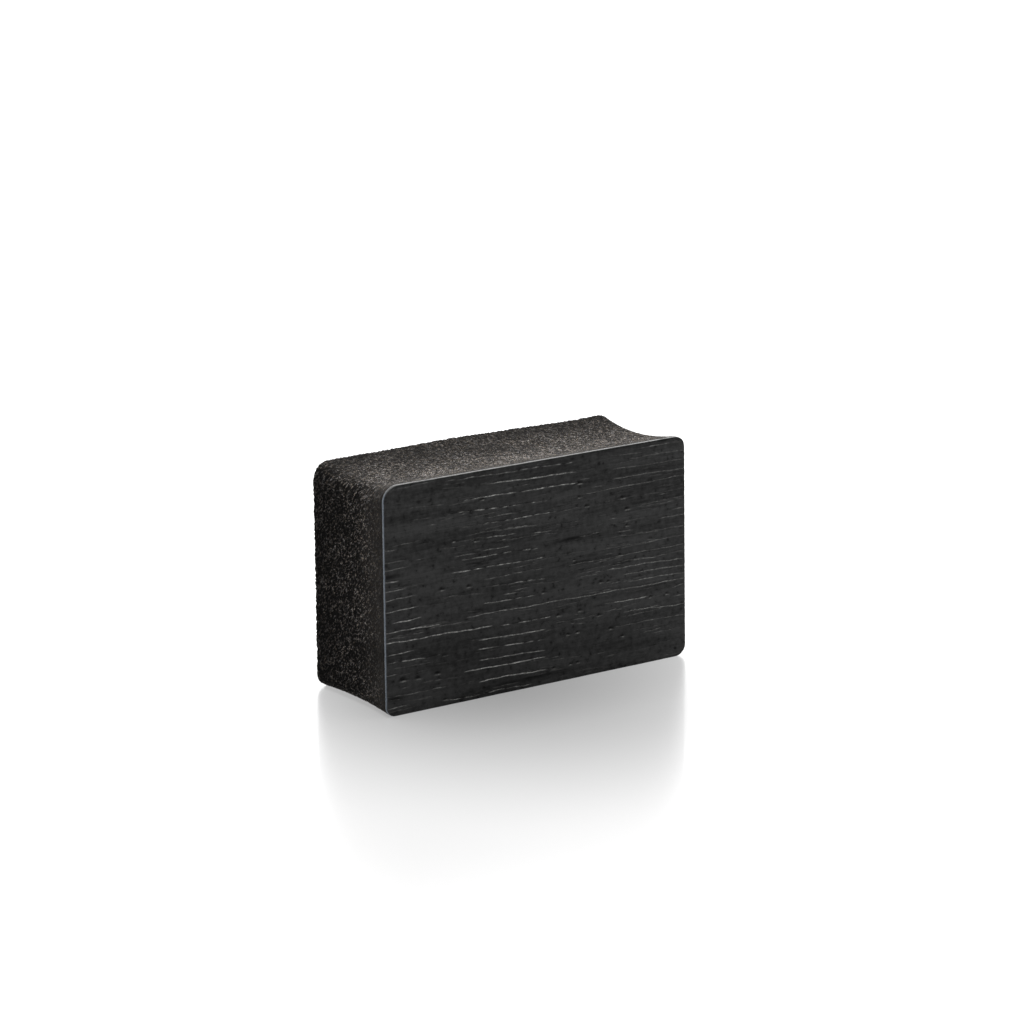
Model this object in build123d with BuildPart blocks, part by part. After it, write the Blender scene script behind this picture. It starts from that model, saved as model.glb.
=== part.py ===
from build123d import *
import os

# Foam hand block with a thin creased rubber facing, standing on its long edge.
# X runs along the length, Y through the thickness, Z up. The working face looks towards -Y.
# The origin is the middle of the footprint, on the surface that the block stands on.

# Driving dimensions, in millimetres
length = 90.0
height = 57.6
thickness = 32.0
facing_corner = 3.2          # rounded corners of the die-cut outline, on the rubber facing
foam_corner = 4.0            # and on the foam behind it, which gives way to the rule
top_dish = 1.8               # how far the long upper side is pulled in, halfway through the foam
end_dish = 0.8               # the same on each end
facing_thickness = 1.0
facing_rim = 0.3             # softened edge around the working face
film_thickness = 0.2
film_inset = 0.4             # the bond film stops short of the cut outline

# Places through the thickness, along Y
working_face = -thickness / 2
film_front = working_face + facing_thickness
foam_front = film_front + film_thickness
foam_back = thickness / 2
foam_middle = (foam_front + foam_back) / 2

os.makedirs("parts", exist_ok=True)

# The foam: flat front, back and underside, with the top and both ends cut slightly hollow,
# because the soft foam squeezes flat under the cutting rule and springs back afterwards.
with BuildPart() as foam_block:
    with BuildSketch(Plane.YZ):
        with BuildLine():
            Polyline((foam_back, height), (foam_back, 0), (foam_front, 0), (foam_front, height))
            ThreePointArc((foam_front, height), (foam_middle, height - top_dish), (foam_back, height))
        make_face()
    extrude(amount=length / 2, both=True)
    with BuildSketch(Plane.XY):
        with BuildLine():
            Line((-length / 2, foam_front), (length / 2, foam_front))
            ThreePointArc(
                (length / 2, foam_front), (length / 2 - end_dish, foam_middle), (length / 2, foam_back)
            )
            Line((length / 2, foam_back), (-length / 2, foam_back))
            ThreePointArc(
                (-length / 2, foam_back), (-length / 2 + end_dish, foam_middle), (-length / 2, foam_front)
            )
        make_face()
    extrude(amount=height, mode=Mode.INTERSECT)
    end_faces = foam_block.faces().sort_by(Axis.X)
    upper_edges = end_faces[0].edges().sort_by(Axis.Z)[-1:] + end_faces[-1].edges().sort_by(Axis.Z)[-1:]
    lower_edges = end_faces[0].edges().sort_by(Axis.Z)[:1] + end_faces[-1].edges().sort_by(Axis.Z)[:1]
    fillet(upper_edges + lower_edges, radius=foam_corner)
foam_block.part.label = "foam_block"
export_step(foam_block.part, "parts/foam_block.step")

# The bond film: a thin sheet of adhesive that holds the facing to the foam.
with BuildPart() as bond_film:
    with BuildSketch(Plane.XZ.offset(-foam_front)):
        with Locations((0, height / 2)):
            RectangleRounded(length - 2 * film_inset, height - 2 * film_inset, foam_corner - film_inset)
    extrude(amount=film_thickness)
bond_film.part.label = "bond_film"
export_step(bond_film.part, "parts/bond_film.step")

# The facing: a thin flat sheet of rubber cut in one stroke with the foam, its outer rim softened.
with BuildPart() as rubber_facing:
    with BuildSketch(Plane.XZ.offset(-film_front)):
        with Locations((0, height / 2)):
            RectangleRounded(length, height, facing_corner)
    extrude(amount=facing_thickness)
    fillet(rubber_facing.faces().sort_by(Axis.Y)[0].edges(), radius=facing_rim)
rubber_facing.part.label = "rubber_facing"
export_step(rubber_facing.part, "parts/rubber_facing.step")
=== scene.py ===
import math

import bpy
import numpy as np
from mathutils import Matrix, Vector, noise


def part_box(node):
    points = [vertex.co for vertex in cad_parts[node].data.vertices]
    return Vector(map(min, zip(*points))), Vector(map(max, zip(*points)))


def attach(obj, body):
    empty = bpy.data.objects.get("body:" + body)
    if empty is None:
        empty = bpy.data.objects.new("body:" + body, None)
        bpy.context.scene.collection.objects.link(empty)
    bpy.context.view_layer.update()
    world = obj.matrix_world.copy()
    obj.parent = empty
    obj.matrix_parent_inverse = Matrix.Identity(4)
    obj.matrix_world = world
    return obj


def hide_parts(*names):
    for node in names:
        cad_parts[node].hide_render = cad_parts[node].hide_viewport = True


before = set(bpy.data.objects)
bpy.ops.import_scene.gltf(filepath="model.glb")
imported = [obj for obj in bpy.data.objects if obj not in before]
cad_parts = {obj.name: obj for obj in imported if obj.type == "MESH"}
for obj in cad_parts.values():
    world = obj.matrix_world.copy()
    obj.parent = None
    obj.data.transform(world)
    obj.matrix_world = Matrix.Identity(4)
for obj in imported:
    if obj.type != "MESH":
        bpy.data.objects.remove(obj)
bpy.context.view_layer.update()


# ---------------------------------------------------------------------------------------------
# The foam block. Black open-cell polyurethane foam, cut from sheet stock by a rule that squeezes
# it flat, so its cut sides spring back slightly hollow. The cut tears the cells open.
# ---------------------------------------------------------------------------------------------
MM = 0.001                       # a millimetre, in metres
foam_low, foam_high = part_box("foam_block")

CELL = 0.47 * MM                 # width of one foam cell
TOP_DISH = 1.8 * MM              # how far the top is pulled in, halfway through
END_DISH = 0.8 * MM              # the same on each end
UNDER_DISH = 0.45 * MM           # and underneath, where the block's weight presses most of it flat
FRONT_CORNERS = np.array([[2.4, 4.0], [3.0, 2.8]]) * MM  # outline radii at the facing: left, right
BACK_CORNERS = np.array([[3.4, 4.6], [4.0, 3.8]]) * MM   # and at the back; each low, then high
BACK_BOWS = [(0.25, -5, 13), (-0.33, 33, 12)]            # the top's back edge: rise, place, reach, in mm
RIGHT_LONGER = 0.25 * MM         # the right end is cut slightly long,
RIGHT_FOOT = 0.55 * MM           # and longer still at the foot
PORE_DEPTH = 0.20 * MM           # how deep the torn cells reach into the surface
PORE_FLUSH = 0.4                 # the part of that depth which stands out past the clean cut
PORE_SKEW = 1.5                  # above 1, most cells are shallow and a few deep
FRAY = 0.10 * MM                 # sideways unevenness of the cut
CLEAN_RINGS = 3                  # grid rings over which the tearing sets in behind the facing
CLOSED_REACH = 13 * MM           # how far behind the facing the cells are closed and matted,
GLUE_REACH = 8 * MM              # and how far the glue that has soaked in darkens them
PORE_BLACK = (0.0015, 0.0015, 0.0015, 1)
STRUT_GREY = (0.078, 0.078, 0.078, 1)
STRUT_GLINT = (0.64, 0.64, 0.64, 1)
MATTED_TONE = (0.22, 0.22, 0.22, 1)      # lightness of closed, matted cells, before the shading
COOL_TINT, WARM_TINT = (0.92, 0.91, 0.93, 1), (1.0, 0.83, 0.66, 1)
FOAM_ALONG, FOAM_UP, FOAM_DEEP, FOAM_BEND = 206, 125, 76, 7  # grid squares; the last for each corner

foam_rng = np.random.default_rng(11)


def rounded_panel(u, v, half_length, low, high, corners):
    """Maps a square grid on a rounded rectangle. u and v run from -2 to 2: what is beyond -1 and 1
    is bent to the arc of a corner. Gives x, z and the direction out of the outline."""
    right, up = (np.clip(u, -1, 1) + 1) / 2, (np.clip(v, -1, 1) + 1) / 2
    left_radius = corners[0, 0] * (1 - up) + corners[0, 1] * up
    right_radius = corners[1, 0] * (1 - up) + corners[1, 1] * up
    corner = left_radius * (1 - right) + right_radius * right
    past_u = np.sign(u) * np.clip(np.abs(u) - 1, 0, 1)
    past_v = np.sign(v) * np.clip(np.abs(v) - 1, 0, 1)
    wide, tall = np.abs(past_u), np.abs(past_v)
    reach = np.maximum(wide, tall)
    angle = np.pi / 4 * np.minimum(wide, tall) / np.maximum(reach, 1e-9)
    along_u = np.where(wide >= tall, np.cos(angle), np.sin(angle)) * (wide > 0)
    along_v = np.where(wide >= tall, np.sin(angle), np.cos(angle)) * (tall > 0)
    out_x, out_z = np.sign(past_u) * along_u, np.sign(past_v) * along_v
    middle = (low + high) / 2
    x = np.clip(u, -1, 1) * (half_length - corner) + out_x * reach * corner
    z = middle + np.clip(v, -1, 1) * ((high - low) / 2 - corner) + out_z * reach * corner
    x += np.clip(x / half_length, 0, 1) * (RIGHT_LONGER + RIGHT_FOOT * (1 - z / high))
    return x, z, out_x, out_z


def grid_line(straight, bend):
    """The grid's places along one side: evenly along the straight run, and over both corners."""
    corner = np.arange(1, bend + 1) / bend
    return np.concatenate([-1 - corner[::-1], np.linspace(-1, 1, straight + 1), 1 + corner])


def outline_order(columns, rows):
    """The grid's border as (column, row) pairs: along the underside, up, back along the top, down."""
    under = [(i, 0) for i in range(columns)]
    up = [(columns, k) for k in range(rows)]
    over = [(i, rows) for i in range(columns, 0, -1)]
    down = [(0, k) for k in range(rows, 0, -1)]
    return np.array(under + up + over + down)


def mesh_piece(name, points, faces, uv):
    """A smooth-shaded mesh object with one UV corner for each face corner."""
    mesh = bpy.data.meshes.new(name)
    mesh.from_pydata(points, [], faces)
    layer = mesh.uv_layers.new(name="OFBake")
    layer.uv.foreach_set("vector", np.asarray(uv, np.float32).ravel())
    mesh.polygons.foreach_set("use_smooth", np.ones(len(mesh.polygons), bool))
    mesh.update()
    piece = bpy.data.objects.new(name, mesh)
    bpy.context.scene.collection.objects.link(piece)
    return piece


def add_mark(piece, name, values):
    """Keeps one number for each point of the mesh, for the material to read."""
    layer = piece.data.attributes.new(name, "FLOAT", "POINT")
    layer.data.foreach_set("value", np.asarray(values, np.float32))


def top_bow(x):
    """The back edge of the top is a little high left of the middle and a little low right of it."""
    rise = np.zeros(x.shape)
    for height, place, reach in BACK_BOWS:
        rise += height * MM * np.exp(-(((x - place * MM) / (reach * MM)) ** 2))
    return rise


def torn_depth(shape):
    """How deep the surface is torn at each point, on average about flush with the clean cut."""
    return PORE_DEPTH * (foam_rng.random(shape) ** PORE_SKEW - PORE_FLUSH)


def sideways_slip(shape):
    return FRAY * (2 * foam_rng.random(shape) - 1)


def foam_mesh():
    """The foam's points, faces, flat pattern and how deep each point lies in a pore. The sides are
    rings of points from the facing to the back, and the back is a grid that closes the last ring."""
    half_length = (foam_high.x - foam_low.x) / 2
    front, back, top = foam_low.y, foam_high.y, foam_high.z
    across = grid_line(FOAM_ALONG, FOAM_BEND)
    upward = grid_line(FOAM_UP, FOAM_BEND)
    columns, rows, rings = len(across) - 1, len(upward) - 1, FOAM_DEEP
    border = outline_order(columns, rows)
    border_u, border_v = across[border[:, 0]], upward[border[:, 1]]

    wall, pores = [], []
    for ring in range(rings):
        share = ring / rings
        pull = 1 - (2 * share - 1) ** 2
        corners = FRONT_CORNERS + (BACK_CORNERS - FRONT_CORNERS) * share ** 3
        half, low, high = half_length - END_DISH * pull, UNDER_DISH * pull, top - TOP_DISH * pull
        x, z, out_x, out_z = rounded_panel(border_u, border_v, half, low, high, corners)
        z += share * top_bow(x) * (out_z > 0.5)
        rough = min(1, ring / CLEAN_RINGS)
        depth = torn_depth(len(x)) * rough
        slip = sideways_slip((2, len(x))) * rough
        pores.append(depth / PORE_DEPTH + PORE_FLUSH)
        wall.append(
            np.stack(
                [
                    x - out_x * depth - out_z * slip[0],
                    np.full(len(x), front + (back - front) * share) + slip[1],
                    z - out_z * depth + out_x * slip[0],
                ],
                -1,
            )
        )

    u, v = np.meshgrid(across, upward, indexing="ij")
    x, z, out_x, out_z = rounded_panel(u, v, half_length, 0, top, BACK_CORNERS)
    edge = np.maximum(np.abs(u), np.abs(v)) >= 2
    z += top_bow(x) * (v >= 1.9)
    depth = torn_depth(x.shape)
    slip = sideways_slip((2,) + x.shape)
    cap = np.stack(
        [
            x - np.where(edge, out_x * depth, 0) + np.where(edge, 0, slip[0]),
            back - depth,
            z - np.where(edge, out_z * depth, 0) + np.where(edge, 0, slip[1]),
        ],
        -1,
    )

    around = len(border)
    pores = np.concatenate(pores + [(depth / PORE_DEPTH + PORE_FLUSH).ravel()])
    points = np.concatenate(wall + [cap.reshape(-1, 3)])
    points[:, 2] = np.maximum(points[:, 2], 0)  # no torn cell reaches below the table
    cap_start = rings * around
    cap_index = cap_start + np.arange((columns + 1) * (rows + 1)).reshape(columns + 1, rows + 1)
    loops = np.arange(cap_start).reshape(rings, around)
    loops = np.vstack([loops, cap_index[border[:, 0], border[:, 1]]])
    nxt = np.roll(np.arange(around), -1)
    wall_faces = np.stack([loops[:-1], loops[1:], loops[1:][:, nxt], loops[:-1][:, nxt]], -1)
    cap_faces = np.stack(
        [cap_index[:-1, :-1], cap_index[:-1, 1:], cap_index[1:, 1:], cap_index[1:, :-1]], -1
    )
    faces = wall_faces.reshape(-1, 4).tolist() + cap_faces.reshape(-1, 4).tolist()
    faces.append(loops[0].tolist())
    return points, faces, foam_uv(columns, rows, rings, around, points[loops[0]]), pores


def foam_uv(columns, rows, rings, around, front_points):
    """A flat pattern in millimetres: the back, then the four strips of the sides, then the front."""
    sheet, step = 126.0, 0.41        # side of the whole pattern and of one grid square
    wide, tall, deep = columns * step, rows * step, rings * step
    corner_of = {
        "under": (1, tall + 2),
        "up": (wide + 3, 1),
        "over": (1, tall + deep + 3),
        "down": (wide + 3, tall + 3),
    }
    order = ["under"] * columns + ["up"] * rows + ["over"] * columns + ["down"] * rows
    begin = {"under": 0, "up": columns, "over": columns + rows, "down": 2 * columns + rows}
    upright = {"up", "down"}
    start = np.empty((around, 2))
    along = np.empty((around, 2))
    inward = np.empty((around, 2))
    for place, side in enumerate(order):
        run = (place - begin[side]) * step
        direction = (0, step) if side in upright else (step, 0)
        start[place] = np.add(corner_of[side], (0, run) if side in upright else (run, 0))
        along[place] = direction
        inward[place] = (step, 0) if side in upright else (0, step)
    ring = np.arange(rings)[:, None, None]
    near, far = start + ring * inward, start + (ring + 1) * inward
    wall = np.stack([near, far, far + along, near + along], 2)
    i, k = np.meshgrid(np.arange(columns), np.arange(rows), indexing="ij")
    square = np.array([(0, 0), (0, 1), (1, 1), (1, 0)])
    cap = (np.stack([i, k], -1)[:, :, None, :] + square) * step + 1
    front = np.stack([front_points[:, 0] / 3, front_points[:, 2] / 8], -1) / MM
    front += (wide + 18, 2 * tall + 5)
    return np.concatenate([wall.reshape(-1, 2), cap.reshape(-1, 2), front]) / sheet


def node(tree, kind, values=None, **settings):
    """Adds a node with its settings, and with numbers or links on its named or numbered inputs."""
    made = tree.nodes.new("ShaderNode" + kind)
    for key, value in settings.items():
        setattr(made, key, value)
    for key, value in (values or {}).items():
        if isinstance(value, bpy.types.NodeSocket):
            tree.links.new(value, made.inputs[key])
        else:
            made.inputs[key].default_value = value
    return made


def new_group(name, inputs, outputs):
    """An empty node group with float, vector or colour inputs at their usual values."""
    tree = bpy.data.node_groups.new(name, "ShaderNodeTree")
    for label, kind, value in inputs:
        socket = tree.interface.new_socket(label, in_out="INPUT", socket_type="NodeSocket" + kind)
        socket.default_value = value
    for label, kind in outputs:
        tree.interface.new_socket(label, in_out="OUTPUT", socket_type="NodeSocket" + kind)
    return tree, tree.nodes.new("NodeGroupInput"), tree.nodes.new("NodeGroupOutput")


def open_cells():
    """Open foam cells: a net of struts round dark pores, each strut with its own lightness."""
    tree, given, result = new_group(
        "open_cells",
        [("Cell", "Float", CELL), ("Strut", "Float", 0.2)],
        [("Net", "Float"), ("Facet", "Float"), ("Warmth", "Float"), ("Height", "Float")],
    )
    place = node(tree, "TexCoord").outputs["Object"]
    size = node(tree, "Math", {0: 1.0, 1: given.outputs["Cell"]}, operation="DIVIDE").outputs[0]
    scaled = node(tree, "VectorMath", {0: place, "Scale": size}, operation="SCALE").outputs[0]
    wobble = node(tree, "TexNoise", {"Vector": scaled, "Scale": 0.9, "Detail": 2.0}).outputs["Color"]
    bent = node(tree, "VectorMath", {0: wobble, 1: (0.5, 0.5, 0.5)}, operation="MULTIPLY").outputs[0]
    cells_at = node(tree, "VectorMath", {0: scaled, 1: bent}, operation="ADD").outputs[0]
    gap = node(tree, "TexVoronoi", {"Vector": cells_at, "Scale": 1.0}, feature="DISTANCE_TO_EDGE")
    own = node(tree, "TexVoronoi", {"Vector": cells_at, "Scale": 1.7}, feature="F1")
    net = node(
        tree, "MapRange",
        {"Value": gap.outputs["Distance"], "From Min": 0.02, "From Max": given.outputs["Strut"],
         "To Min": 1.0, "To Max": 0.0},
        interpolation_type="SMOOTHSTEP",
    ).outputs["Result"]
    facet = node(tree, "SeparateColor", {"Color": own.outputs["Color"]}).outputs["Red"]
    warmth = node(tree, "SeparateColor", {"Color": own.outputs["Color"]}).outputs["Green"]
    rise = node(tree, "Math", {0: facet, 1: 0.35}, operation="MULTIPLY").outputs[0]
    height = node(tree, "Math", {0: net, 1: rise}, operation="ADD").outputs[0]
    tree.links.new(net, result.inputs["Net"])
    tree.links.new(facet, result.inputs["Facet"])
    tree.links.new(warmth, result.inputs["Warmth"])
    tree.links.new(height, result.inputs["Height"])
    return tree


cells_group = open_cells()


def foam_material():
    """Light struts between black pores, the deeper torn cells painted darker: a painted shade. The ends are
    more open than the rest and painted darker, a painted shade for the light they miss. The foam is
    painted paler towards the bond and darker towards the back, a painted light for the light from behind;
    towards the bond it is also more closed, and right beside it the glue has darkened it."""
    material = bpy.data.materials.new("charcoal_foam")
    material.use_nodes = True
    tree = material.node_tree
    tree.nodes.clear()
    cells = node(tree, "Group", node_tree=cells_group)
    cells.inputs["Cell"].default_value = CELL
    cells.inputs["Strut"].default_value = 0.30
    place = node(tree, "TexCoord").outputs["Object"]
    patch = node(tree, "TexNoise", {"Vector": place, "Scale": 90.0, "Detail": 3.0}).outputs["Fac"]
    spread = node(tree, "MapRange", {"Value": patch, "From Min": 0.3, "From Max": 0.7,
                                     "To Min": 0.75, "To Max": 1.25}).outputs["Result"]
    pore = node(tree, "Attribute", attribute_name="pore").outputs["Fac"]
    outward = node(tree, "TexCoord").outputs["Normal"]
    endways = node(tree, "SeparateXYZ", {0: outward}).outputs["X"]
    endways = node(tree, "Math", {0: endways}, operation="ABSOLUTE").outputs[0]
    endways = node(tree, "MapRange", {"Value": endways, "From Min": 0.3, "From Max": 0.9}).outputs["Result"]
    sunk = node(tree, "MapRange", {"Value": endways, "To Min": 0.7, "To Max": 0.46}).outputs["Result"]
    # Painted shade in the pores: the deeper a torn cell lies, the darker it is painted.
    raised = node(tree, "MapRange", {"Value": pore, "From Min": 0.05, "From Max": sunk,
                                     "To Min": 1.05, "To Max": 0.05}).outputs["Result"]
    sparse = node(tree, "MapRange", {"Value": endways, "To Min": 1.2, "To Max": 0.9}).outputs["Result"]
    glint = node(tree, "Math", {0: cells.outputs["Facet"], 1: sparse}, operation="POWER").outputs[0]
    tone = node(tree, "Math", {0: cells.outputs["Net"], 1: glint}, operation="MULTIPLY").outputs[0]
    tone = node(tree, "Math", {0: tone, 1: raised}, operation="MULTIPLY").outputs[0]
    depth_in = node(tree, "SeparateXYZ", {0: place}).outputs["Y"]
    closed = node(tree, "MapRange", {"Value": depth_in, "From Min": foam_low.y,
                                     "From Max": foam_low.y + CLOSED_REACH,
                                     "To Min": 0.7, "To Max": 0.0}).outputs["Result"]
    matted = node(tree, "MapRange", {"Value": endways, "To Min": 0.22, "To Max": 0.0}).outputs["Result"]
    closed = node(tree, "Math", {0: closed, 1: matted}, operation="MAXIMUM").outputs[0]
    tone = node(tree, "MixRGB", {"Fac": closed, "Color1": tone, "Color2": MATTED_TONE})
    # Painted shade: the ends are painted darker than the top, bottom and back, for the light they miss.
    end_shade = node(tree, "MapRange", {"Value": endways, "To Min": 1.0, "To Max": 0.67}).outputs["Result"]
    spread = node(tree, "Math", {0: spread, 1: end_shade}, operation="MULTIPLY").outputs[0]
    # Painted light: paler towards the facing and darker towards the back, for the light from behind; the
    # glue then darkens the strip right beside the facing.
    painted_light_and_glue = node(tree, "MapRange", {"Value": depth_in, "From Min": foam_low.y, "From Max": foam_high.y,
                                     "To Min": 1.4, "To Max": 0.46}).outputs["Result"]
    glued = node(tree, "MapRange", {"Value": depth_in, "From Min": foam_low.y,
                                    "From Max": foam_low.y + GLUE_REACH,
                                    "To Min": 0.64, "To Max": 1.0}).outputs["Result"]
    painted_light_and_glue = node(tree, "Math", {0: painted_light_and_glue, 1: glued}, operation="MULTIPLY").outputs[0]
    tone = node(tree, "Math", {0: tone.outputs["Color"], 1: painted_light_and_glue}, operation="MULTIPLY").outputs[0]
    tone = node(tree, "Math", {0: tone, 1: spread}, operation="MULTIPLY", use_clamp=True).outputs[0]
    lightness = node(tree, "ValToRGB", {"Fac": tone})
    stops = lightness.color_ramp.elements
    stops[0].position, stops[0].color = 0.0, PORE_BLACK
    stops[1].position, stops[1].color = 1.0, STRUT_GLINT
    middle = stops.new(0.25)
    middle.color = STRUT_GREY
    tint = node(tree, "MixRGB", {"Fac": cells.outputs["Warmth"], "Color1": COOL_TINT,
                                 "Color2": WARM_TINT}).outputs["Color"]
    colour = node(tree, "MixRGB", {"Fac": 1.0, "Color1": lightness.outputs["Color"], "Color2": tint},
                  blend_type="MULTIPLY")
    bump = node(tree, "Bump", {"Strength": 0.9, "Distance": 0.16 * MM, "Height": cells.outputs["Height"]})
    shader = node(
        tree, "BsdfPrincipled",
        {"Base Color": colour.outputs["Color"], "Roughness": 0.82, "Normal": bump.outputs["Normal"],
         "Specular IOR Level": 0.06},
    )
    out = node(tree, "OutputMaterial")
    tree.links.new(shader.outputs["BSDF"], out.inputs["Surface"])
    return material


points, faces, uv, pores = foam_mesh()
foam = mesh_piece("foam_body", points, faces, uv)
add_mark(foam, "pore", pores)
foam.data.materials.append(foam_material())
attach(foam, "root")
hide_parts("foam_block")


# ---------------------------------------------------------------------------------------------
# The bond film. A thin layer of dull adhesive between the foam and the rubber, a little short of
# the cut edge, so only a dark line of it shows.
# ---------------------------------------------------------------------------------------------
GLUE_DARK, GLUE_PALE = (0.012, 0.011, 0.010, 1), (0.045, 0.042, 0.038, 1)


def film_material():
    """Dull dark adhesive that has taken the print of the foam's cells."""
    material = bpy.data.materials.new("adhesive_film")
    material.use_nodes = True
    tree = material.node_tree
    tree.nodes.clear()
    cells = node(tree, "Group", node_tree=cells_group)
    cells.inputs["Cell"].default_value = 1.5 * CELL
    cells.inputs["Strut"].default_value = 0.35
    colour = node(tree, "ValToRGB", {"Fac": cells.outputs["Facet"]})
    stops = colour.color_ramp.elements
    stops[0].color = GLUE_DARK
    stops[1].color = GLUE_PALE
    bump = node(tree, "Bump", {"Strength": 0.6, "Distance": 0.1 * MM, "Height": cells.outputs["Height"]})
    shader = node(
        tree, "BsdfPrincipled",
        {"Base Color": colour.outputs["Color"], "Roughness": 0.6, "Normal": bump.outputs["Normal"]},
    )
    out = node(tree, "OutputMaterial")
    tree.links.new(shader.outputs["BSDF"], out.inputs["Surface"])
    return material


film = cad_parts["bond_film"]
film.data.materials.clear()
film.data.materials.append(film_material())


# ---------------------------------------------------------------------------------------------
# The rubber facing. A 1 mm sheet of black synthetic rubber, bonded to the foam and cut with it.
# Its face has shrunk into fine creases along the length, which open into lips where the block is
# flexed: at both ends and in a band left of the middle. The lips are painted light, partly a chalky
# bloom and partly a painted highlight, and the grooves, pits and hollows hold painted shade.
# ---------------------------------------------------------------------------------------------
facing_low, facing_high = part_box("rubber_facing")

RIM = 0.3 * MM                   # rounding of the outer edge
RIM_STEPS = 4
CUT_PALENESS = (0.0, 0.02, 0.12, 0.5, 1.0, 0.0)  # of the cut edge, ring by ring from face to bond
FACE_ALONG, FACE_ALONG_BEND = 116, 4             # grid squares: coarse along the creases,
FACE_UP, FACE_UP_BEND = 650, 32                  # fine across them
CREASE_WIDTH = 0.105             # half the width of a crease's lip, in millimetres
GROOVE_OFF, SHADE_OFF = 1.7, 2.0 # how many of these widths its groove and its shade lie above it
CREASE_TAPER = 1.2               # over how many millimetres a crease runs out at each end
CREASE_SWAYS = (2.9, 0.8)        # how drawn out its two sideways waves are, in millimetres
CREASE_DEPTH = 0.12 * MM
PIT_DEPTH = 0.28 * MM
HOLLOW_DEPTH = 0.13 * MM
WAVE_DEPTH = 0.05 * MM           # the unevenness of the sheet itself,
WAVE_ALONG, WAVE_UP = 130, 900   # and how fast it changes along the creases and across them
FAINT_CREASES = 220
RIGHT_PALENESS = 0.55            # the lips that run out over the right edge are less light
RUBBER_BLACK, RUBBER_GREY = (0.003, 0.003, 0.003, 1), (0.036, 0.036, 0.036, 1)
# The lips' light colour: part chalky bloom, part painted highlight.
CHALK_AND_GLINT = (0.62, 0.62, 0.60, 1)
# The cut edge: on the sides its own paler colour with a pale bluish painted highlight, along the top
# painted darker and greyer, a painted shade.
CUT_RUBBER_AND_GLINT, TOP_CUT_SHADED = (0.22, 0.26, 0.32, 1), (0.125, 0.124, 0.12, 1)

face_rng = np.random.default_rng(5)


# The standing creases, in millimetres: height at the middle, left end, right end, how light the lip
# is, how far it falls from left to right, how broken it is (0 whole, 1 only beads).
CREASES = [
    (56.1, -22, 11, 0.4, 0.6, 0.5), (53.6, -15.5, 11.5, 0.75, 0.9, 0.3), (50.7, -22, 12, 0.75, 0.7, 0.5),
    (47.7, -27, 3, 0.6, 1.1, 0.95), (44.1, -16.5, 6, 0.75, 0.2, 0.6), (40.5, -21, -7, 0.45, 0.2, 0.95),
    (39.4, -2, 4, 0.35, 0.2, 0.5), (37.5, -17, -8, 0.35, 0.2, 0.4), (35.9, -23, 0, 0.45, 0.6, 0.6),
    (33.1, -26, 2.2, 0.7, 0.5, 0.7), (30.2, -16.5, 2.2, 0.35, 0.2, 0.6), (27.8, -15, 2, 0.4, 0.9, 0.7),
    (25.2, -11, -3, 0.4, 0.2, 0.6), (23.8, -16.5, -0.4, 0.6, 0.5, 0.6),
    (20.9, -21.4, 45.5, 0.85, 1.1, 0.25), (17.4, -12, 3.8, 0.55, 0.3, 0.8),
    (14.6, -18.2, 2.1, 0.7, 0.7, 0.15), (12.2, -19, 2, 0.65, 0.9, 0.7),
    (9.4, -18.2, 2.1, 0.55, 1.0, 0.2), (7.4, -22.5, 2.1, 0.85, 0.5, 0.2), (4.2, -18, 2.5, 1.05, 0.5, 0.2),
    (1.1, -28, -2, 0.5, 0.2, 0.5),
    (41.9, -45.5, -42, 0.45, 0, 0.3), (38.9, -45.5, -39, 0.2, 0, 0.3), (37.0, -45.5, -38.5, 0.45, 0, 0.2),
    (33.8, -45.5, -41, 0.6, 0, 0.2), (31.7, -45.5, -39, 0.4, 0, 0.2), (29.4, -45.5, -36.5, 0.45, 0, 0.3),
    (26.5, -45.5, -35.5, 0.5, 0, 0.2), (23.7, -43.2, -34.7, 0.95, -0.2, 0.3),
    (21.2, -45.5, -29, 0.7, 0.2, 0.3), (18.4, -45.5, -14, 0.95, 0.7, 0.3), (15.7, -45.5, -37, 0.5, 0, 0.4),
    (13.5, -45.5, -29.5, 0.6, 0.2, 0.8), (10.6, -45.5, -42, 0.4, 0, 0.3), (5.0, -45.5, -27, 0.3, 0.3, 0.5),
    (2.2, -45.5, -39, 0.5, 0, 0.4),
    (56.3, 31, 45.5, 0.2, 0.2, 0.2), (54.1, 28, 45.5, 0.3, 0.2, 0.2), (51.9, 22, 45.5, 0.35, 0.6, 0.2),
    (49.5, 23, 45.5, 0.5, 0.5, 0.2), (47.3, 15, 45.5, 0.5, -0.3, 0.2), (44.2, 20, 45.5, 0.2, 0.2, 0.4),
    (41.9, 31, 45.5, 0.35, 0, 0.3), (39.1, 41, 45.5, 0.5, 0, 0.2), (37.2, 37, 45.5, 0.45, 0, 0.2),
    (34.4, 22, 45.5, 0.3, 0.4, 0.2), (31.9, 19, 45.5, 0.3, 0.2, 0.2), (29.5, 9, 45.5, 0.4, 0, 0.3),
    (27.7, 10, 45.5, 0.3, 0.1, 0.4), (26.2, 20.5, 45.5, 0.8, 0.8, 0.3), (24.2, 26, 45.5, 0.7, 0.6, 0.3),
    (22.2, 27, 45.5, 0.7, 0.6, 0.2), (18.9, 41.3, 45.5, 0.6, -1.4, 0.2), (17.6, 20.3, 34, 0.75, 0.4, 0.5),
    (16.0, 41.8, 45.5, 0.6, 0, 0.2), (14.2, 26, 45.5, 0.8, 1.0, 0.2), (11.1, 23, 45.5, 0.5, 0.3, 0.4),
    (7.6, 35, 45.5, 0.25, 0.2, 0.4),
]
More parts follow.
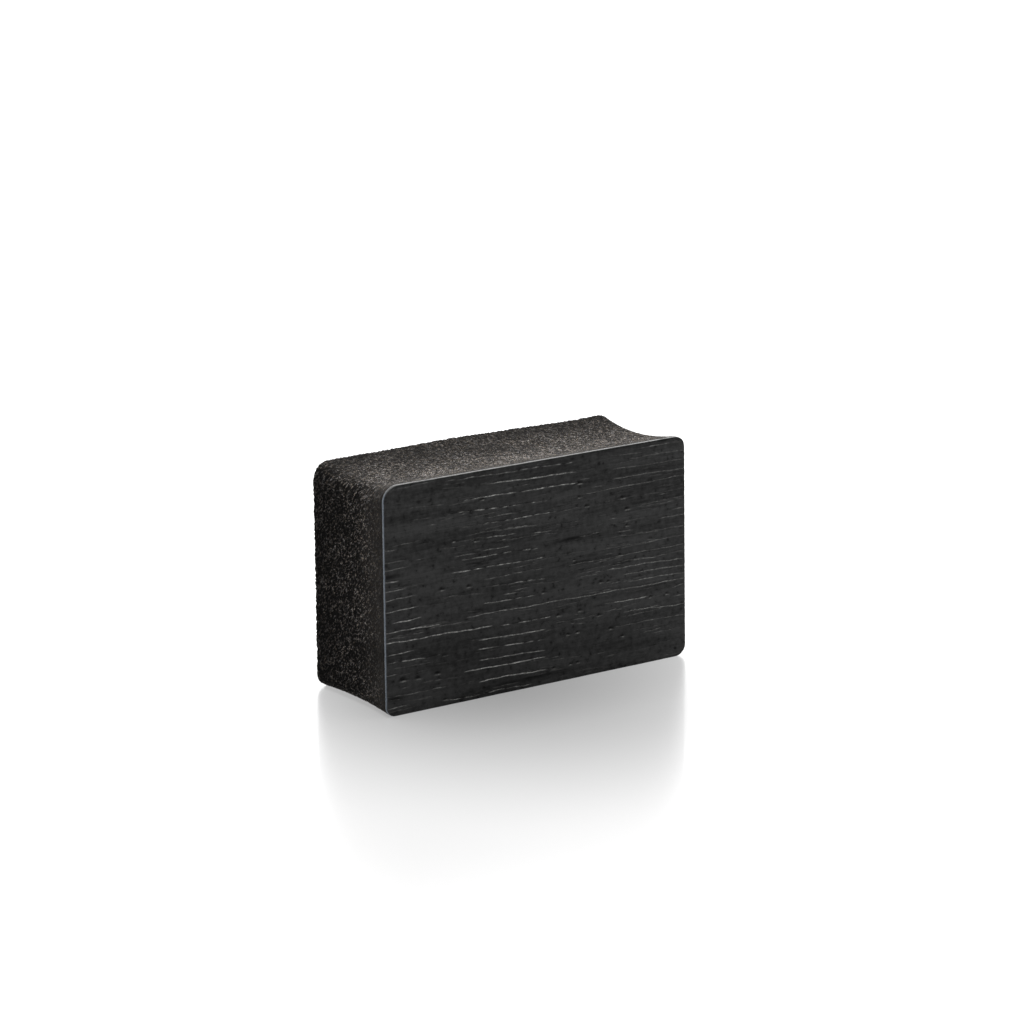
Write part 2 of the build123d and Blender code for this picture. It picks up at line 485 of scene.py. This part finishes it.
# Small dark pits with a light lower lip: place along the length, height, half the width.
PITS = [
    (12.5, 50.4, 0.7), (14.9, 44.1, 0.6), (12.1, 46.7, 0.5), (25.6, 44.6, 0.7), (27.4, 41.5, 0.6),
    (27.0, 37.2, 0.5), (19.4, 23.9, 0.7), (21.6, 23.6, 0.5), (1.5, 24.0, 0.5), (12.5, 17.5, 0.6),
    (6.0, 17.4, 0.6), (18.6, 15.3, 0.6), (9.0, 11.9, 0.5), (11.9, 12.0, 0.5), (22.3, 11.2, 0.6),
    (25.5, 8.6, 0.5), (34.6, 17.3, 0.5), (39.6, 17.3, 0.5), (-40.7, 9.1, 0.9), (-36.0, 8.7, 0.7),
    (-30.0, 8.9, 0.7), (-29.1, 29.9, 0.7), (-20.6, 29.3, 0.6), (-22.6, 48.0, 0.5), (-19.0, 40.6, 0.7),
    (-16.9, 50.5, 0.4), (-27.9, 13.0, 0.4), (12.0, 4.1, 0.5), (4.2, 3.9, 0.5), (9.6, 4.0, 0.4),
    (25.0, 29.9, 0.5), (11.0, 30.8, 0.4), (-25.0, 41.3, 0.4), (-28.0, 1.8, 0.5),
]
# Broad dark hollows between the creases: place, height, half the length, half the height.
HOLLOWS = [
    (8.5, 36.4, 6.0, 0.6), (17.0, 31.4, 3.5, 0.4), (-18.0, 34.6, 9.0, 0.9), (-4.0, 41.6, 2.2, 0.5),
    (19.0, 17.9, 2.0, 0.35), (-40.5, 32.8, 3.5, 0.6), (-43.5, 28.1, 2.5, 0.9), (-42.5, 4.3, 3.0, 1.0),
    (13.0, 29.9, 5.0, 0.5), (-43.5, 35.3, 2.0, 0.9), (0.0, 2.4, 14.0, 0.7), (24.0, 27.8, 5.0, 0.5),
    (-18.5, 22.6, 3.0, 0.4), (33.0, 40.6, 5.0, 0.4),
]


def face_creases():
    """The standing creases, and between them many faint short ones all over the face."""
    creases = list(CREASES)
    for _ in range(FAINT_CREASES):
        start = face_rng.uniform(-45, 38)
        height, end = face_rng.uniform(0.8, 57), start + face_rng.uniform(3, 13)
        light, drop = face_rng.uniform(0.0, 0.22), face_rng.uniform(-0.4, 0.8)
        creases.append((height, start, end, light, drop, 0.5))
    return creases


def face_relief(x, z):
    """How deep the face lies at each point, how light the crease lips are, partly a painted highlight,
    and where painted shade darkens it.
    """
    depth, lips, shade = np.zeros((3,) + x.shape)
    waves = np.array(
        [
            noise.fractal(Vector((a * WAVE_ALONG, 0, b * WAVE_UP)), 0.8, 2.0, 3)
            for a, b in zip(x.ravel(), z.ravel())
        ]
    ).reshape(x.shape)
    ragged = np.clip(0.75 + 1.3 * waves, 0, 1.4)
    across, upward = x / MM, z / MM
    along = np.linspace(-46, 46, 400)
    for height, start, end, light, drop, beads in face_creases():
        phase, sway = face_rng.uniform(0, 6.28, 3), face_rng.uniform(0.05, 0.15)
        middle = (start + end) / 2
        line = (height - drop * (along - middle) / max(end - start, 8)
                + sway * np.sin(along / CREASE_SWAYS[0] + phase[0])
                + 0.5 * sway * np.sin(along / CREASE_SWAYS[1] + phase[1]))
        taper = np.clip((along - start) / CREASE_TAPER, 0, 1) * np.clip((end - along) / CREASE_TAPER, 0, 1)
        grain = np.array([noise.noise(Vector((a / 1.7, height, phase[2]))) for a in along])
        broken = np.clip(1 + beads * (3.0 * grain - 0.7), 0, 1.3)
        taper_at = np.interp(across, along, taper)
        off = (upward - np.interp(across, along, line)) / CREASE_WIDTH
        ridge, groove = np.exp(-(off ** 2)), np.exp(-((off - GROOVE_OFF) ** 2))
        light *= RIGHT_PALENESS if end > 45 else 1.0
        deep = 0.3 + 0.7 * light
        depth += CREASE_DEPTH * deep * taper_at * (0.7 * groove - 0.5 * ridge)
        lips += light * np.interp(across, along, taper * broken) * ridge
        # Painted shade just above each lip, where its groove lies.
        shade += 0.55 * deep * taper_at * np.exp(-((off - SHADE_OFF) ** 2) / 2.5)
    columns_at = across[:, across.shape[1] // 2]
    for place, height, size in PITS:
        place = columns_at[np.argmin(np.abs(columns_at - place))]  # onto the nearest grid column
        near = ((across - place) / size) ** 2 + ((upward - height) / (0.65 * size)) ** 2
        below = ((across - place - 0.3 * size) / size) ** 2 + ((upward - height + 0.75 * size) / 0.16) ** 2
        depth += PIT_DEPTH * np.exp(-near)
        # A pit's darkness is painted shade, and its light lower lip a painted highlight.
        shade += 1.5 * np.exp(-near)
        lips += 0.35 * np.exp(-below)
    for place, height, half_length, half_height in HOLLOWS:
        near = ((across - place) / half_length) ** 2 + ((upward - height) / half_height) ** 2
        depth += HOLLOW_DEPTH * ragged * np.exp(-near)
        # The hollows are painted darker: painted shade.
        shade += 0.65 * ragged * np.exp(-near)
    depth += WAVE_DEPTH * waves
    return depth, np.clip(lips, 0, 1.2), np.clip(shade, 0, 1)


def facing_mesh():
    """The facing's points, faces, flat pattern and marks: a fine grid for the face, then rings of
    points round the rim and back along the cut edge, closed by one flat side at the bond."""
    half_length = (facing_high.x - facing_low.x) / 2
    front, back, top = facing_low.y, facing_high.y, facing_high.z
    across = grid_line(FACE_ALONG, FACE_ALONG_BEND)
    upward = grid_line(FACE_UP, FACE_UP_BEND)
    columns, rows = len(across) - 1, len(upward) - 1
    border = outline_order(columns, rows)
    u, v = np.meshgrid(across, upward, indexing="ij")
    x, z, out_x, out_z = rounded_panel(u, v, half_length - RIM, RIM, top - RIM, FRONT_CORNERS - RIM)
    depth, lips, shade = face_relief(x, z)
    face = np.stack([x, front + depth, z], -1).reshape(-1, 3)

    cells = np.arange((columns + 1) * (rows + 1)).reshape(columns + 1, rows + 1)
    edge = cells[border[:, 0], border[:, 1]]
    out = np.stack([out_x, 0 * out_x, out_z], -1).reshape(-1, 3)[edge]
    out /= np.linalg.norm(out, axis=1, keepdims=True)
    nick = depth.reshape(-1)[edge][:, None]
    base = face[edge] * (1, 0, 1)
    rings = [edge]
    points = [face]
    for step in range(1, RIM_STEPS + 1):
        turn = math.pi / 2 * step / RIM_STEPS
        ring = base + out * (RIM * math.sin(turn) - 0.8 * nick * math.sin(turn))
        ring[:, 1] = front + RIM * (1 - math.cos(turn)) + nick[:, 0] * math.cos(turn)
        points.append(ring)
    for share in (0.55, 1.0):
        ring = base + out * (RIM - 0.8 * nick * (1 - share))
        ring[:, 1] = front + RIM + (back - front - RIM) * share
        points.append(ring)
    around = len(edge)
    for ring in range(RIM_STEPS + 2):
        rings.append(len(face) + ring * around + np.arange(around))
    rings = np.array(rings)
    nxt = np.roll(np.arange(around), -1)
    side = np.stack([rings[:-1], rings[1:], rings[1:][:, nxt], rings[:-1][:, nxt]], -1)
    flat = np.stack([cells[:-1, :-1], cells[1:, :-1], cells[1:, 1:], cells[:-1, 1:]], -1)
    faces = flat.reshape(-1, 4).tolist() + side.reshape(-1, 4).tolist() + [rings[-1][::-1].tolist()]
    points = np.concatenate(points)
    fade = [np.clip(1 - 0.2 * ring, 0, 1) for ring in range(RIM_STEPS + 2)]
    marks = {
        name: np.concatenate([value.reshape(-1)] + [value.reshape(-1)[edge] * part for part in fade])
        for name, value in (("crease_lip", lips), ("crease_shade", shade))
    }
    cut = [np.full(around, share) for share in CUT_PALENESS]
    marks["cut_edge"] = np.concatenate([np.zeros(len(face))] + cut)
    return points, faces, facing_uv(points, faces, len(flat.reshape(-1, 4)), around), marks


def facing_uv(points, faces, flat_count, around):
    """The face laid flat, its rim as strips beside it, and the bonded side small in a corner."""
    sheet, strip = 96.0, 1.2         # side of the whole pattern, and width of one strip of the rim
    uv = []
    for number, corners in enumerate(faces):
        if number < flat_count:
            uv += [(points[c][0] / MM + 46, points[c][2] / MM + 1) for c in corners]
        elif number < len(faces) - 1:
            ring, place = divmod(number - flat_count, around)
            low = 61 + strip * ring
            left, right = 1 + 92.0 * place / around, 1 + 92.0 * (place + 1) / around
            uv += [(left, low), (left, low + strip), (right, low + strip), (right, low)]
        else:
            uv += [(points[c][0] / MM / 5 + 12, points[c][2] / MM / 5 + 74) for c in corners]
    return np.array(uv) / sheet


def rubber_material():
    """Black rubber, streaked along the creases and mottled. The crease lips are painted light, partly a
    chalky bloom and partly a painted highlight; the grooves, pits and hollows are dull and painted darker,
    a painted shade. The cut edge is paler, its own colour together with a painted highlight, and painted
    darker along the top, a painted shade."""
    material = bpy.data.materials.new("creased_rubber")
    material.use_nodes = True
    tree = material.node_tree
    tree.nodes.clear()
    place = node(tree, "TexCoord").outputs["Object"]
    streaks_at = node(tree, "Mapping", {"Vector": place, "Scale": (200.0, 500.0, 1900.0)}).outputs[0]
    streaks = node(tree, "TexNoise", {"Vector": streaks_at, "Scale": 1.0, "Detail": 4.0,
                                      "Roughness": 0.6}).outputs["Fac"]
    broad_at = node(tree, "Mapping", {"Vector": place, "Scale": (35.0, 100.0, 300.0)}).outputs[0]
    broad = node(tree, "TexNoise", {"Vector": broad_at, "Scale": 1.0, "Detail": 3.0}).outputs["Fac"]
    dust = node(tree, "TexNoise", {"Vector": place, "Scale": 2600.0, "Detail": 2.0}).outputs["Fac"]
    lip = node(tree, "Attribute", attribute_name="crease_lip").outputs["Fac"]
    shade = node(tree, "Attribute", attribute_name="crease_shade").outputs["Fac"]

    mottle = node(tree, "TexNoise", {"Vector": place, "Scale": 620.0, "Detail": 4.0,
                                     "Roughness": 0.6}).outputs["Fac"]
    mixed = node(tree, "MixRGB", {"Fac": 0.62, "Color1": streaks, "Color2": mottle}).outputs["Color"]
    broad = node(tree, "Math", {0: broad, 1: 0.6}, operation="MULTIPLY").outputs[0]
    tone = node(tree, "Math", {0: mixed, 1: broad}, operation="ADD").outputs[0]
    tone = node(tree, "MapRange", {"Value": tone, "From Min": 0.66, "From Max": 0.94}).outputs["Result"]
    rubber = node(tree, "MixRGB", {"Fac": tone, "Color1": RUBBER_BLACK,
                                   "Color2": RUBBER_GREY}).outputs["Color"]
    specks = node(tree, "MapRange", {"Value": mottle, "From Min": 0.39, "From Max": 0.33,
                                     "To Min": 0.0, "To Max": 0.8}).outputs["Result"]
    # Painted shade: the grooves, pits and hollows are painted towards black; the specks are the rubber's
    # own mottling.
    darker = node(tree, "Math", {0: shade, 1: specks}, operation="MAXIMUM").outputs[0]
    darker = node(tree, "Math", {0: darker, 1: 0.85}, operation="MULTIPLY").outputs[0]
    rubber = node(tree, "MixRGB", {"Fac": darker, "Color1": rubber,
                                   "Color2": RUBBER_BLACK}).outputs["Color"]
    # Painted highlight, partly: the lips are painted chalky light, beaded along their length.
    beading = node(tree, "TexNoise", {"Vector": place, "Scale": 1400.0, "Detail": 1.0}).outputs["Fac"]
    chalk_and_glint_beads = node(tree, "MapRange", {"Value": beading, "From Min": 0.42, "From Max": 0.64,
                                    "To Min": 0.5, "To Max": 1.15}).outputs["Result"]
    bloom_and_glint = node(tree, "Math", {0: lip, 1: chalk_and_glint_beads}, operation="MULTIPLY", use_clamp=True).outputs[0]
    colour = node(tree, "MixRGB", {"Fac": bloom_and_glint, "Color1": rubber, "Color2": CHALK_AND_GLINT}).outputs["Color"]
    cut = node(tree, "Attribute", attribute_name="cut_edge").outputs["Fac"]
    sawn = node(tree, "MapRange", {"Value": dust, "From Min": 0.35, "From Max": 0.65,
                                   "To Min": 0.6, "To Max": 1.1}).outputs["Result"]
    cut = node(tree, "Math", {0: cut, 1: sawn}, operation="MULTIPLY", use_clamp=True).outputs[0]
    # The cut edge's top is painted darker and greyer than its bluish sides: painted shade and painted
    # highlight.
    way_up = node(tree, "SeparateXYZ", {0: node(tree, "TexCoord").outputs["Normal"]}).outputs["Z"]
    top_cut_shade = node(tree, "MapRange", {"Value": way_up, "From Min": 0.1, "From Max": 0.8}).outputs["Result"]
    core = node(tree, "MixRGB", {"Fac": top_cut_shade, "Color1": CUT_RUBBER_AND_GLINT,
                                 "Color2": TOP_CUT_SHADED}).outputs["Color"]
    colour = node(tree, "MixRGB", {"Fac": cut, "Color1": colour, "Color2": core}).outputs["Color"]
    rough = node(tree, "MapRange", {"Value": streaks, "From Min": 0.3, "From Max": 0.7,
                                    "To Min": 0.34, "To Max": 0.48}).outputs["Result"]
    rough = node(tree, "MapRange", {"Value": darker, "To Min": rough, "To Max": 0.95}).outputs["Result"]
    fine = node(tree, "Bump", {"Strength": 0.8, "Distance": 0.12 * MM, "Height": mixed})
    shader = node(
        tree, "BsdfPrincipled",
        {"Base Color": colour, "Roughness": rough, "Normal": fine.outputs["Normal"], "IOR": 1.32},
    )
    out = node(tree, "OutputMaterial")
    tree.links.new(shader.outputs["BSDF"], out.inputs["Surface"])
    return material


points, faces, uv, marks = facing_mesh()
facing = mesh_piece("facing_sheet", points, faces, uv)
for name, values in marks.items():
    add_mark(facing, name, values)
facing.data.materials.append(rubber_material())
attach(facing, "root")
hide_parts("rubber_facing")


# ---------------------------------------------------------------------------------------------
# The floor. A plain white acrylic table top that glows, a painted light standing in for the light on
# it, and glows less round the block, a painted shadow. A soft gloss mirrors the block faintly.
# ---------------------------------------------------------------------------------------------
FLOOR_HALF = 6.0
SHADOW_MIDDLE = (-9 * MM, -20 * MM, 0)      # where the painted shadow round the block is deepest,
SHADOW_REACH = 105 * MM                     # and how far from there it is full again
SHADOW_GLOW, FULL_GLOW = 0.28, 0.73


def floor_material():
    material = bpy.data.materials.new("white_table")
    material.use_nodes = True
    tree = material.node_tree
    tree.nodes.clear()
    place = node(tree, "TexCoord").outputs["Object"]
    away = node(tree, "VectorMath", {0: place, 1: SHADOW_MIDDLE}, operation="DISTANCE").outputs["Value"]
    # Painted light: the floor glows though it is no lamp, and glows less round the block, a painted shadow.
    glow = node(tree, "MapRange", {"Value": away, "From Max": SHADOW_REACH, "To Min": SHADOW_GLOW,
                                   "To Max": FULL_GLOW}, interpolation_type="SMOOTHSTEP").outputs["Result"]
    shader = node(
        tree, "BsdfPrincipled",
        {"Base Color": (0.16, 0.16, 0.16, 1), "Roughness": 0.30, "IOR": 1.5,
         "Coat Weight": 0.16, "Coat Roughness": 0.03, "Coat IOR": 1.5,
         "Emission Color": (1, 1, 1, 1), "Emission Strength": glow},
    )
    out = node(tree, "OutputMaterial")
    tree.links.new(shader.outputs["BSDF"], out.inputs["Surface"])
    return material


floor_mesh = bpy.data.meshes.new("table_top")
corners = [(-1, -1, 0), (1, -1, 0), (1, 1, 0), (-1, 1, 0)]
floor_mesh.from_pydata([tuple(FLOOR_HALF * c for c in corner) for corner in corners], [], [(0, 1, 2, 3)])
floor_mesh.materials.append(floor_material())
floor = bpy.data.objects.new("table_top", floor_mesh)
bpy.context.scene.collection.objects.link(floor)


# ---------------------------------------------------------------------------------------------
# The light. A bright white wall of light behind the block and a soft box over it, with next to
# nothing from the front, so the rubber stays dark and its edges catch the light.
# ---------------------------------------------------------------------------------------------
def soft_box(name, place, aim, size, radiance):
    """An even rectangular light. Its power follows from its area and how bright it looks."""
    data = bpy.data.lights.new(name, "AREA")
    data.shape = "RECTANGLE"
    data.size, data.size_y = size
    data.energy = radiance * math.pi * size[0] * size[1]
    light = bpy.data.objects.new(name, data)
    light.location = place
    light.rotation_euler = (Vector(aim) - Vector(place)).to_track_quat("-Z", "Y").to_euler()
    light.visible_camera = False
    bpy.context.scene.collection.objects.link(light)


CAMERA_AZIMUTH = math.radians(-34.72)
BACK_AWAY, BACK_MIDDLE, BACK_SIZE = 2.1, 0.75, (4.0, 1.5)
BACK_GLOW, TOP_GLOW = 2.55, 8.0
SKY_FILL = 0.08                          # what the room round about gives, where white is 1
ahead = Vector((-math.sin(CAMERA_AZIMUTH), math.cos(CAMERA_AZIMUTH), 0))
back_place = ahead * BACK_AWAY + Vector((0, 0, BACK_MIDDLE))
soft_box("back_light", back_place, (0, 0, BACK_MIDDLE), BACK_SIZE, BACK_GLOW)
soft_box("top_light", (0.0, 0.1, 1.25), (0, 0.02, 0), (1.0, 1.0), TOP_GLOW)

world = bpy.data.worlds.new("studio")
bpy.context.scene.world = world
world.use_nodes = True
sky = world.node_tree
sky.nodes.clear()
seen = node(sky, "Background", {"Color": (1, 1, 1, 1), "Strength": 1.0})
fill = node(sky, "Background", {"Color": (1, 1, 1, 1), "Strength": SKY_FILL})
ray = node(sky, "LightPath").outputs["Is Camera Ray"]
mix = node(sky, "MixShader", {0: ray, 1: fill.outputs[0], 2: seen.outputs[0]})
sky.links.new(mix.outputs[0], node(sky, "OutputWorld").inputs["Surface"])
bpy.context.scene.view_settings.view_transform = "Standard"


# ---------------------------------------------------------------------------------------------
# The camera. A long lens, a little above the block and towards its left end.
# ---------------------------------------------------------------------------------------------
CAMERA_ELEVATION = math.radians(14.55)
CAMERA_ROLL = math.radians(-0.46)
CAMERA_DISTANCE = 0.9473
AIM_RIGHT, AIM_UP = 2.66 * MM, 12.14 * MM

block_middle = Vector((0, 0, foam_high.z / 2))
toward = Vector(
    (math.sin(CAMERA_AZIMUTH) * math.cos(CAMERA_ELEVATION),
     -math.cos(CAMERA_AZIMUTH) * math.cos(CAMERA_ELEVATION),
     math.sin(CAMERA_ELEVATION))
)
level = Vector((math.cos(CAMERA_AZIMUTH), math.sin(CAMERA_AZIMUTH), 0))
upright = toward.cross(level)
right = level * math.cos(CAMERA_ROLL) + upright * math.sin(CAMERA_ROLL)
above = upright * math.cos(CAMERA_ROLL) - level * math.sin(CAMERA_ROLL)
lens = bpy.data.cameras.new("camera")
lens.lens = 133.0
lens.sensor_width = 36.0
lens.clip_start = 0.05
lens.clip_end = 50.0
camera = bpy.data.objects.new("camera", lens)
camera.matrix_world = Matrix.Translation(
    block_middle + toward * CAMERA_DISTANCE + level * AIM_RIGHT + upright * AIM_UP
) @ Matrix((right, above, toward)).transposed().to_4x4()
bpy.context.scene.collection.objects.link(camera)
bpy.context.scene.camera = camera
